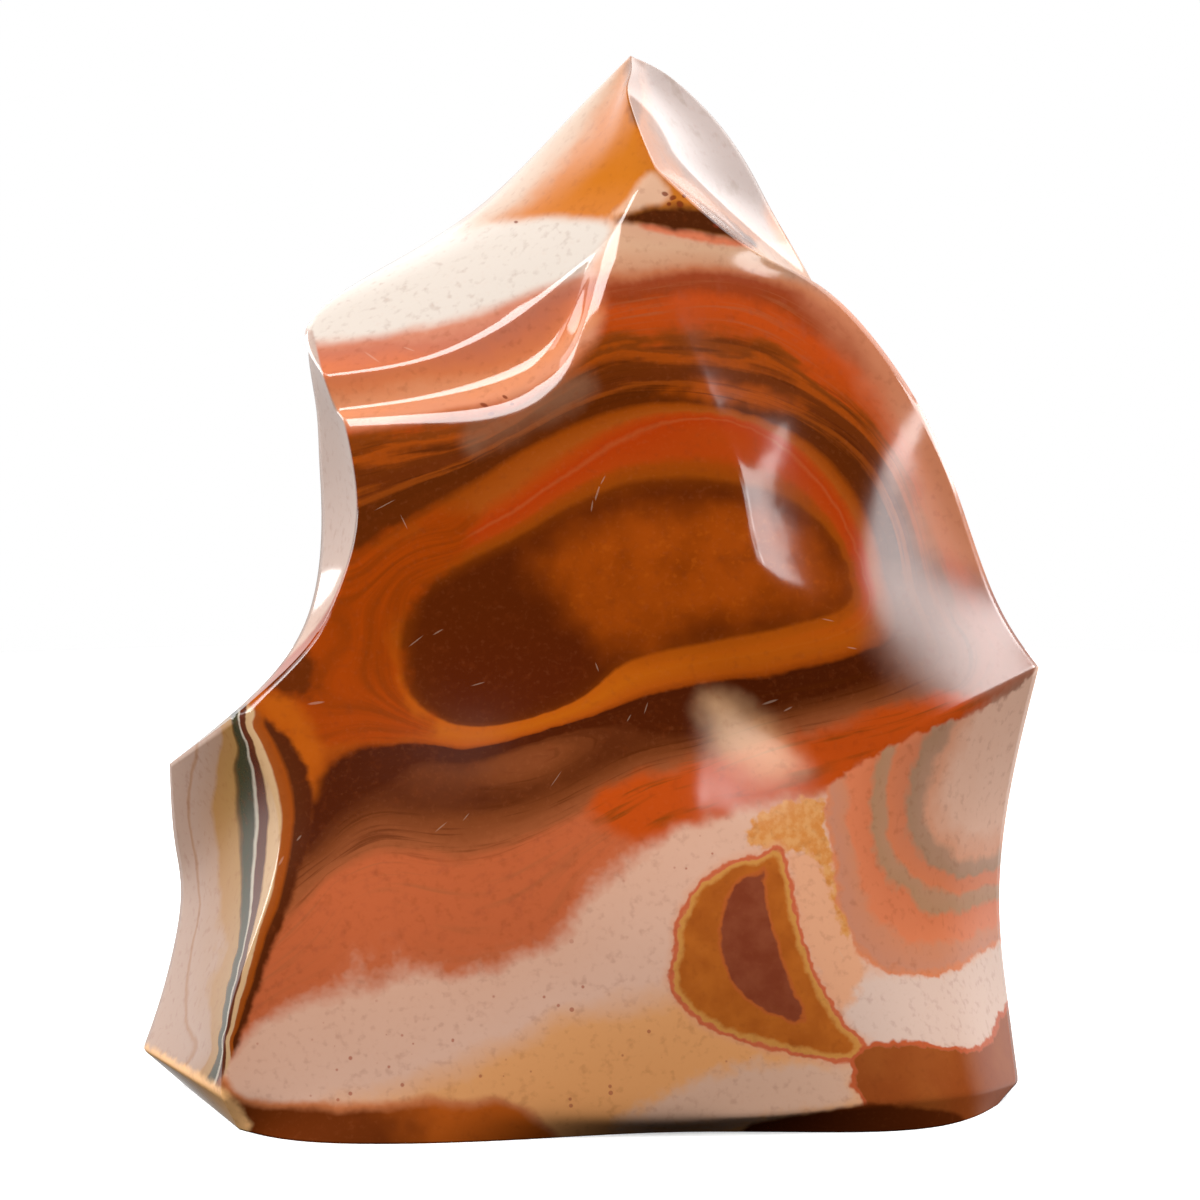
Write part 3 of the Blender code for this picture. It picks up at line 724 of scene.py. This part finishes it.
def mark_frame(x, y, length, width, slope, margin=0):
    """What turns a place into steps along, across and behind a mark, counted in its half sizes."""
    turn = math.radians(slope)
    along = np.array((math.cos(turn), math.sin(turn), 0)) * 200 / (length + margin)
    across = np.array((-math.sin(turn), math.cos(turn), 0)) * 200 / (width + margin)
    frame = np.array((along, across, (0, 0, 1 / MARK_REACH)))
    return frame.T, frame @ (x / 100, y / 100, MARK_DEPTH)


def lay_vectors(mesh, name, vectors, domain="POINT"):
    """Stores a vector for each point or corner of the mesh."""
    layer = mesh.attributes.new(name, "FLOAT_VECTOR", domain)
    layer.data.foreach_set("vector", vectors.ravel())


def lay_marks(mesh, name, places, marks):
    """Stores where the corners of each face lie in the frame of the mark nearest to that face."""
    corners = np.zeros(len(mesh.loops), dtype=int)
    mesh.loops.foreach_get("vertex_index", corners)
    places = places[corners].reshape(-1, 4, 3)
    centres = places.mean(axis=1)
    nearest = np.full(len(centres), np.inf)
    framed = np.zeros_like(places)
    for mark in marks:
        frame, middle = mark_frame(*mark, MARK_MARGIN)
        reach = np.linalg.norm(centres @ frame - middle, axis=1)
        closer = reach < nearest
        nearest[closer] = reach[closer]
        frame, middle = mark_frame(*mark)
        framed[closer] = places[closer] @ frame - middle
    lay_vectors(mesh, name, framed, "CORNER")


def lay_markings(stone):
    """Stores on the stone's mesh where each of its points lies among the markings."""
    points = np.zeros(len(stone.data.vertices) * 3)
    stone.data.vertices.foreach_get("co", points)
    points = points.reshape(-1, 3)
    places = marking_places(points)
    depth = np.clip(points[:, 1] / MM - FRONT_DEPTH, 0, None)
    fields = {name: spread(places, guides) for name, guides in FIELDS.items()}
    for name, outline in OUTLINES.items():
        fields[name] = depth_inside(places, outline) - depth * OUTLINE_FADE
    fields["upper side"] = depth_inside(seen_from_camera(points), beside_ridge())
    spare = np.zeros(len(places))
    for group in range(0, len(FIELD_NAMES), 3):
        columns = [fields[name] for name in FIELD_NAMES[group:group + 3]]
        columns += [spare] * (3 - len(columns))
        lay_vectors(stone.data, f"fields {group // 3}", np.column_stack(columns))
    flat = np.column_stack([places / 100, points[:, 1] / MM / 10])
    lay_vectors(stone.data, "place", flat)
    lay_marks(stone.data, "scratches", flat, SCRATCHES)
    lay_marks(stone.data, "chips", flat, CHIPS)


# The markings: what they look like

def wired(tree, kind, inputs, output=0, **settings):
    """Adds a node with its settings, gives its inputs a value or a link, and returns an output."""
    node = tree.nodes.new(kind)
    for name, value in settings.items():
        setattr(node, name, value)
    for key, value in inputs.items():
        if isinstance(value, bpy.types.NodeSocket):
            tree.links.new(value, node.inputs[key])
        else:
            node.inputs[key].default_value = value
    return node.outputs[output]


class Paint:
    """Builds up the stone's colour from fields on its mesh, one marking over another."""

    def __init__(self, tree):
        self.tree = tree
        self.place = self.vector("place")
        self.colour = None

    def vector(self, name):
        return wired(self.tree, "ShaderNodeAttribute", {}, 1, attribute_name=name)

    def field(self, name):
        group, axis = divmod(FIELD_NAMES.index(name), 3)
        return wired(self.tree, "ShaderNodeSeparateXYZ", {0: self.vector(f"fields {group}")}, axis)

    def part(self, axis):
        """How far to the right, down or back a place lies."""
        return wired(self.tree, "ShaderNodeSeparateXYZ", {0: self.place}, axis)

    def math(self, operation, *values):
        return wired(self.tree, "ShaderNodeMath", dict(enumerate(values)), operation=operation)

    def sum(self, first, second):
        return self.math("ADD", first, second)

    def times(self, first, second):
        return self.math("MULTIPLY", first, second)

    def stretch(self, value, low, high):
        """0 at low, 1 at high and smooth between."""
        inputs = {"Value": value, "From Min": low, "From Max": high}
        return wired(self.tree, "ShaderNodeMapRange", inputs, interpolation_type="SMOOTHSTEP")

    def noise(self, size, detail=2.0, seed=0.0, spread=1.0, vector=None):
        """Noise between -spread and spread, with features this many pixels wide."""
        inputs = {0: vector or self.place, 1: (seed * 7.3, seed * 5.1, seed * 3.7)}
        shifted = wired(self.tree, "ShaderNodeVectorMath", inputs)
        inputs = {"Vector": shifted, "Scale": 100 / size, "Detail": detail}
        plain = wired(self.tree, "ShaderNodeTexNoise", inputs)
        inputs = {"Value": plain, "From Min": 0.3, "From Max": 0.7,
                  "To Min": -spread, "To Max": spread}
        return wired(self.tree, "ShaderNodeMapRange", inputs, clamp=False)

    def patches(self, size, detail, seed, low=-1.0, high=1.0):
        """Uneven patches: 0 where the noise is below low, 1 where it is above high."""
        return self.stretch(self.noise(size, detail, seed), low, high)

    def layers(self, field, fineness, seed=0.0):
        """Noise drawn out along the lines of a field, as fine layers lie in a banded stone."""
        vector = wired(self.tree, "ShaderNodeCombineXYZ", {
            "X": self.times(field, fineness),
            "Y": self.times(self.part("X"), 0.9),
            "Z": self.times(self.part("Y"), 0.9),
        })
        return self.noise(100, 3.0, seed, vector=vector)

    def ramp(self, value, stops, span):
        """Colours along a field, from (level, colour) stops over a span of levels."""
        share = self.math("DIVIDE", value, span)
        node = self.tree.nodes.new("ShaderNodeValToRGB")
        self.tree.links.new(share, node.inputs[0])
        elements = node.color_ramp.elements
        elements.remove(elements[1])
        for i, (level, colour) in enumerate(stops):
            element = elements.new(level / span) if i else elements[0]
            element.position = level / span
            element.color = (*colour, 1)
        return node.outputs[0]

    def mix(self, share, under, over):
        inputs = {0: share, 6: self.solid(under), 7: self.solid(over)}
        return wired(self.tree, "ShaderNodeMix", inputs, 2, data_type="RGBA")

    def solid(self, colour):
        return (*colour, 1) if isinstance(colour, tuple) else colour

    def over(self, share, colour, strength=None):
        """Lays a colour over what is there, at full strength or less."""
        if strength is not None:
            share = self.times(share, strength)
        self.colour = self.mix(share, self.colour, colour)

    def inside(self, name, softness, wobble=0.0, size=14, seed=0.0):
        """1 inside a marking and 0 outside, with an uneven edge."""
        depth = self.field(name)
        if wobble:
            depth = self.sum(depth, self.noise(size, 2.0, seed, wobble))
        return self.stretch(depth, -softness, softness)

    def strokes(self, name):
        """1 inside any of these small lengthened marks and 0 outside them."""
        place = self.vector(name)
        reach = wired(self.tree, "ShaderNodeVectorMath", {0: place}, 1, operation="LENGTH")
        return self.stretch(reach, 1.0, 0.5)

    def line(self, value, level, width):
        """1 along one level of a field and 0 away from it."""
        gap = self.math("ABSOLUTE", self.math("SUBTRACT", value, level))
        return self.stretch(gap, width, width * 0.3)


def strata(paint):
    """The folded bands that run right through the stone, with finer layers in them."""
    level = paint.field("strata")
    streaks = paint.layers(level, 5.0, 2.0)
    busy = paint.times(paint.stretch(level, 4.9, 5.6), paint.stretch(level, 7.5, 6.9))
    raised = paint.stretch(paint.field("height"), -0.5, 0.5)
    swing = wired(paint.tree, "ShaderNodeMix", {0: raised, 2: 0.06, 3: 0.15})
    swing = paint.sum(paint.times(busy, swing), 0.008)
    uneven = paint.sum(level, paint.noise(60, 1.0, 0.0, 0.05))
    uneven = paint.sum(uneven, paint.noise(9, 1.0, 1.0, 0.02))
    uneven = paint.sum(uneven, paint.times(streaks, swing))
    upper = paint.ramp(uneven, UPPER_BANDS, TOP_LEVEL)
    lower = paint.ramp(uneven, LOWER_BANDS, TOP_LEVEL)
    paint.colour = paint.mix(raised, lower, upper)
    paint.over(paint.inside("glow", 8, 5, 30), (0.33, 0.055, 0.002), 0.85)
    drawn = paint.stretch(paint.layers(level, 9.0, 21.0), 0.2, 1.1)
    paint.over(paint.times(busy, drawn), (0.07, 0.012, 0.001), 0.6)
    salmon = paint.times(paint.stretch(uneven, 6.9, 7.3), paint.stretch(uneven, 8.1, 7.7))
    fine = paint.stretch(paint.layers(level, 16.0, 17.0), 0.1, 1.2)
    paint.over(paint.times(salmon, fine), (0.3, 0.085, 0.03), 0.45)
    mottled = paint.patches(12, 3.0, 25.0, 0.0, 1.4)
    paint.over(paint.times(salmon, mottled), (0.28, 0.06, 0.025), 0.4)
    return uneven, streaks


def shoulder(paint, level):
    """The white and salmon layers of the left shoulder, and a greyish painted reflection beneath
    them.
    """
    paint.over(paint.inside("shoulder", 9, 2, 40), paint.ramp(level, SHOULDER_BANDS, TOP_LEVEL))
    paint.over(paint.inside("white shoulder", 8, 2, 40), (0.56, 0.49, 0.43))
    # A painted reflection: a greyish veil over the brown.
    paint.over(paint.inside("grey painted reflection", 14, 6, 40), (0.19, 0.085, 0.045), 0.75)


def right_edge(paint):
    """The rose colour down the right edge, partly a painted haze of reflected light, and the brown
    shade on the tongue.
    """
    # Partly the stone's pink, partly a painted haze of reflected light.
    paint.over(paint.inside("pink edge and painted haze", 24, 6, 40), (0.54, 0.2, 0.1), 0.8)
    paint.over(paint.inside("tip shade", 24, 6, 40), (0.2, 0.09, 0.06), 0.75)


def upper_side(paint):
    """The pale face that turns away at the upper left, more orange lower down."""
    lower = paint.stretch(paint.part("Y"), 5.2, 6.6)
    pale = paint.mix(lower, (0.42, 0.31, 0.26), (0.43, 0.25, 0.17))
    paint.over(paint.stretch(paint.field("upper side"), -1.5, 1.5), pale)


def heart(paint, streaks):
    """The rust brown at the left of the fold and the mottled brown in its middle."""
    rust = paint.mix(paint.stretch(streaks, -1.0, 1.4), (0.3, 0.04, 0.001), (0.22, 0.032, 0.001))
    paint.over(paint.inside("rust", 12, 8, 30, 18.0), rust)
    mottled = paint.patches(34, 4.0, 3.0, -1.8, 1.0)
    colour = paint.mix(mottled, (0.2, 0.032, 0.001), (0.3, 0.05, 0.002))
    grain = paint.times(paint.patches(7, 2.0, 19.0, 0.3, 1.2), 0.4)
    colour = paint.mix(grain, colour, (0.36, 0.07, 0.004))
    paint.over(paint.inside("heart", 28, 8, 40, 4.0), colour)


def ember(paint, streaks):
    """The bright orange red layers under the dark band, and a pale painted highlight on them."""
    colour = paint.mix(paint.stretch(streaks, 0.1, 0.9), (0.44, 0.058, 0.005), (0.24, 0.045, 0.004))
    paint.over(paint.inside("ember", 10, 6, 30, 5.0), colour)
    # A pale painted highlight where the softbox's soft spot lies.
    paint.over(paint.inside("painted highlight spot", 22, 4, 30), (0.78, 0.44, 0.22), 0.5)


def specks(paint):
    """Small dark red specks in the pale layers."""
    inputs = {"Vector": paint.place, "Scale": 100 / SPECK_SPACING, "Randomness": 1.0}
    near = wired(paint.tree, "ShaderNodeTexVoronoi", inputs, "Distance")
    chosen = wired(paint.tree, "ShaderNodeTexVoronoi", inputs, "Color")
    lucky = wired(paint.tree, "ShaderNodeSeparateXYZ", {0: chosen}, 0)
    size = paint.times(paint.stretch(lucky, 0.55, 1.0), 0.2)
    spot = paint.stretch(paint.math("SUBTRACT", size, near), -0.02, 0.06)
    pale = paint.stretch(paint.field("strata"), 7.9, 8.3)
    lower = paint.stretch(paint.field("height"), 0.2, -0.2)
    paint.over(paint.times(paint.times(spot, pale), lower), (0.34, 0.085, 0.045), 0.7)


def lower_right(paint):
    """The pale, peach and saffron patches round the shield, and the swirl beside them."""
    paint.over(paint.inside("pale right", 8, 4), (0.61, 0.43, 0.35))
    paint.over(paint.inside("pale foot", 12, 5), (0.6, 0.36, 0.25))
    paint.over(paint.inside("peach", 6, 4), (0.66, 0.32, 0.18))
    saffron = paint.mix(paint.patches(9, 3.0, 6.0), (0.56, 0.2, 0.045), (0.62, 0.29, 0.1))
    paint.over(paint.inside("saffron", 3, 4, 10), saffron)
    level = paint.sum(paint.field("swirl"), paint.noise(24, 3.0, 7.0, 0.22))
    # The swirl's pale middle is partly a painted sheen.
    paint.over(paint.inside("swirl area", 2.5, 3), paint.ramp(level, SWIRL_BANDS, SWIRL_TOP_LEVEL))


def shield(paint):
    """The ochre inclusion with its red brown heart, its pale rim and its red outline."""
    edge = paint.sum(paint.field("shield"), paint.noise(12, 2.0, 8.0, 2.0))
    paint.over(paint.stretch(edge, -13, 0), paint.mix(0.7, paint.colour, (0.62, 0.28, 0.16)))
    paint.over(paint.line(edge, -1.5, 4.0), (0.5, 0.11, 0.045))
    paint.over(paint.stretch(edge, -1, 1.5), (0.52, 0.22, 0.05))
    ochre = paint.mix(paint.patches(30, 3.0, 9.0), (0.34, 0.08, 0.01), (0.42, 0.11, 0.014))
    paint.over(paint.stretch(edge, 2.5, 8), ochre)
    core = paint.sum(paint.field("shield heart"), paint.noise(14, 2.0, 10.0, 1.5))
    paint.over(paint.stretch(core, -4, -1), (0.4, 0.09, 0.018))
    brown = paint.mix(paint.patches(24, 3.0, 11.0), (0.185, 0.036, 0.014), (0.225, 0.053, 0.022))
    paint.over(paint.stretch(core, -1, 2), brown)


def foot(paint):
    """The brown block at the right of the foot, the shadow line and the strip at the left."""
    edge = paint.sum(paint.field("block"), paint.noise(16, 2.0, 12.0, 3.0))
    paint.over(paint.line(edge, 0.0, 4.5), (0.45, 0.09, 0.03))
    brown = paint.mix(paint.patches(70, 2.0, 13.0), (0.25, 0.053, 0.01), (0.29, 0.072, 0.014))
    paint.over(paint.stretch(edge, 0.5, 3), brown)
    paint.over(paint.inside("foot shadow", 3, 1), (0.1, 0.018, 0.003))
    edge = paint.sum(paint.field("foot strip"), paint.noise(40, 3.0, 14.0, 4.0))
    paint.over(paint.stretch(edge, -7, 2), (0.48, 0.15, 0.055))
    across = paint.sum(paint.part("X"), paint.noise(60, 2.0, 15.0, 0.3))
    strip = paint.mix(paint.stretch(across, 3.6, 4.4), (0.12, 0.022, 0.003), (0.4, 0.08, 0.008))
    paint.over(paint.stretch(edge, -1, 9), strip)


def side(paint):
    """The orange and the dark spot beside the left side, its upright stripes and its chamfer."""
    paint.over(paint.inside("ridge flame", 10, 4, 30), (0.38, 0.075, 0.003))
    paint.over(paint.inside("dark spot", 8, 4), (0.11, 0.018, 0.001))
    level = paint.sum(paint.field("side"), paint.noise(60, 3.0, 16.0, 0.12))
    paint.over(paint.inside("side area", 4, 2), paint.ramp(level, SIDE_BANDS, SIDE_TOP_LEVEL))
    paint.over(paint.inside("left chamfer", 5, 2), (0.85, 0.46, 0.19))


def top(paint):
    """The facets of the point, the orange edge between them and the dark streak beneath."""
    # Partly the facet's tan, partly a painted sheen along its left edge.
    paint.over(paint.inside("apex left and sheen", 14, 3, 30), (0.45, 0.31, 0.22))
    paint.over(paint.inside("apex right", 14, 3, 30), (0.3, 0.215, 0.185))
    smudge = paint.times(paint.patches(26, 3.0, 20.0, 0.2, 1.0), paint.inside("apex right", 30))
    paint.over(smudge, (0.2, 0.12, 0.08), 0.6)
    paint.over(paint.inside("top edge", 4, 2, 30), (0.42, 0.12, 0.012))
    paint.over(paint.inside("apex shade", 4, 2, 20), (0.13, 0.05, 0.025), 0.7)
    # Partly the stone's pale colour, partly a painted highlight at the top of the lip ridge.
    paint.over(paint.inside("pale corner and highlight", 5, 2, 20), (0.58, 0.34, 0.22))
    paint.over(paint.inside("streak rim", 3, 2, 20), (0.55, 0.15, 0.07))
    paint.over(paint.inside("top streak", 5, 3, 24), (0.06, 0.012, 0.002))


def grains(paint):
    """The fine grain of the stone, a little lighter and darker."""
    paint.over(paint.patches(5, 2.0, 22.0, 0.2, 1.4), (0.5, 0.16, 0.06), 0.05)
    paint.over(paint.patches(9, 2.0, 23.0, 0.1, 1.4), (0.16, 0.03, 0.006), 0.2)


def marks(paint):
    """Pale scratches and dark chips of a hand ground stone."""
    paint.over(paint.strokes("scratches"), (0.55, 0.38, 0.28), 0.24)
    paint.over(paint.strokes("chips"), (0.14, 0.02, 0.006), 0.8)


def jasper():
    """The polished banded stone."""
    material = bpy.data.materials.new("jasper")
    material.use_nodes = True
    tree = material.node_tree
    shader = tree.nodes["Principled BSDF"]
    shader.inputs["IOR"].default_value = JASPER_IOR
    paint = Paint(tree)
    level, streaks = strata(paint)
    shoulder(paint, level)
    right_edge(paint)
    upper_side(paint)
    heart(paint, streaks)
    ember(paint, streaks)
    for marking in (specks, lower_right, shield, foot, side, top, grains, marks):
        marking(paint)
    tree.links.new(paint.colour, shader.inputs["Base Color"])
    matt = paint.math("MAXIMUM", paint.inside("matt spot", 25), paint.inside("matt tip", 30))
    roughness = wired(tree, "ShaderNodeMix", {0: matt, 2: POLISHED, 3: MATT})
    tree.links.new(roughness, shader.inputs["Roughness"])
    waves = {"Strength": 1.0, "Distance": WAVE_HEIGHT, "Height": paint.noise(45, 2.0, 24.0)}
    tree.links.new(wired(tree, "ShaderNodeBump", waves), shader.inputs["Normal"])
    return material


# The studio

def direction(azimuth, elevation):
    """A direction from the stone: azimuth 0 is towards the camera, 90 to its right."""
    turn = math.radians(azimuth)
    rise = math.radians(elevation)
    flat = math.cos(rise)
    return Vector((math.sin(turn) * flat, -math.cos(turn) * flat, math.sin(rise)))


def softbox(name, azimuths, elevations, radiance):
    """A rectangular light one metre away that spans these angles as the stone sees it."""
    azimuth = sum(azimuths) / 2
    elevation = sum(elevations) / 2
    half_width = math.radians(azimuths[1] - azimuths[0]) / 2 * math.cos(math.radians(elevation))
    half_height = math.radians(elevations[1] - elevations[0]) / 2
    width = 2 * math.tan(half_width)
    height = 2 * math.tan(half_height)
    light = bpy.data.lights.new(name, "AREA")
    light.shape = "RECTANGLE"
    light.size = width
    light.size_y = height
    light.energy = radiance * math.pi * width * height
    lamp = bpy.data.objects.new(name, light)
    bpy.context.scene.collection.objects.link(lamp)
    towards = direction(azimuth, elevation)
    lamp.location = CAMERA_AIM + towards
    lamp.rotation_euler = towards.to_track_quat("Z", "Y").to_euler()
    lamp.visible_camera = False
    return lamp


def studio_world():
    """Dark before the stone and bright above and behind it; the camera sees plain white."""
    world = bpy.data.worlds.new("studio")
    bpy.context.scene.world = world
    world.use_nodes = True
    tree = world.node_tree
    where = wired(tree, "ShaderNodeTexCoord", {}, "Generated")

    def change(axis, low, high, before, after):
        """Runs from one strength to another as the direction turns along an axis."""
        inputs = {"Value": wired(tree, "ShaderNodeSeparateXYZ", {0: where}, axis),
                  "From Min": low, "From Max": high, "To Min": before, "To Max": after}
        return wired(tree, "ShaderNodeMapRange", inputs, interpolation_type="SMOOTHSTEP")

    glow = change("Z", 0.0, 0.45, 0.75, 1.8)
    for share in (change("Y", 0.25, 0.6, 0.01, 1.0), change("Z", -0.45, -0.2, 0.0, 1.0)):
        glow = wired(tree, "ShaderNodeMath", {0: glow, 1: share}, operation="MULTIPLY")
    camera = wired(tree, "ShaderNodeLightPath", {}, "Is Camera Ray")
    strength = wired(tree, "ShaderNodeMix", {0: camera, 2: glow, 3: 1.0})
    background = tree.nodes["Background"]
    background.inputs["Color"].default_value = (1, 1, 1, 1)
    tree.links.new(strength, background.inputs["Strength"])


def studio_floor():
    """A wide, plain, pale floor."""
    mesh = bmesh.new()
    bmesh.ops.create_circle(mesh, cap_ends=True, segments=96, radius=0.45)
    data = bpy.data.meshes.new("floor")
    mesh.to_mesh(data)
    mesh.free()
    floor = bpy.data.objects.new("floor", data)
    bpy.context.scene.collection.objects.link(floor)
    material = bpy.data.materials.new("floor")
    material.use_nodes = True
    shader = material.node_tree.nodes["Principled BSDF"]
    shader.inputs["Base Color"].default_value = (0.8, 0.8, 0.8, 1)
    shader.inputs["Roughness"].default_value = 0.9
    shader.inputs["Emission Color"].default_value = (1, 1, 1, 1)
    shader.inputs["Emission Strength"].default_value = 0.4
    data.materials.append(material)
    floor.visible_glossy = False
    floor.visible_diffuse = False
    return floor


def studio_camera():
    """The camera, at the height and distance that give the stone's perspective."""
    data = bpy.data.cameras.new("camera")
    data.lens = LENS_MM
    data.sensor_width = SENSOR_MM
    data.clip_start = 0.01
    camera = bpy.data.objects.new("camera", data)
    bpy.context.scene.collection.objects.link(camera)
    back = direction(0, math.degrees(CAMERA_ELEVATION))
    camera.location = CAMERA_AIM + back * CAMERA_DISTANCE
    camera.rotation_euler = back.to_track_quat("Z", "Y").to_euler()
    bpy.context.scene.camera = camera


stone = polished_stone()
stone.data.materials.clear()
stone.data.materials.append(jasper())
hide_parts("flame")
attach(stone, "root")

studio_world()
for name, (azimuths, elevations, radiance) in SOFTBOXES.items():
    softbox(name, azimuths, elevations, radiance)
studio_floor()
studio_camera()
bpy.context.scene.view_settings.view_transform = "Standard"
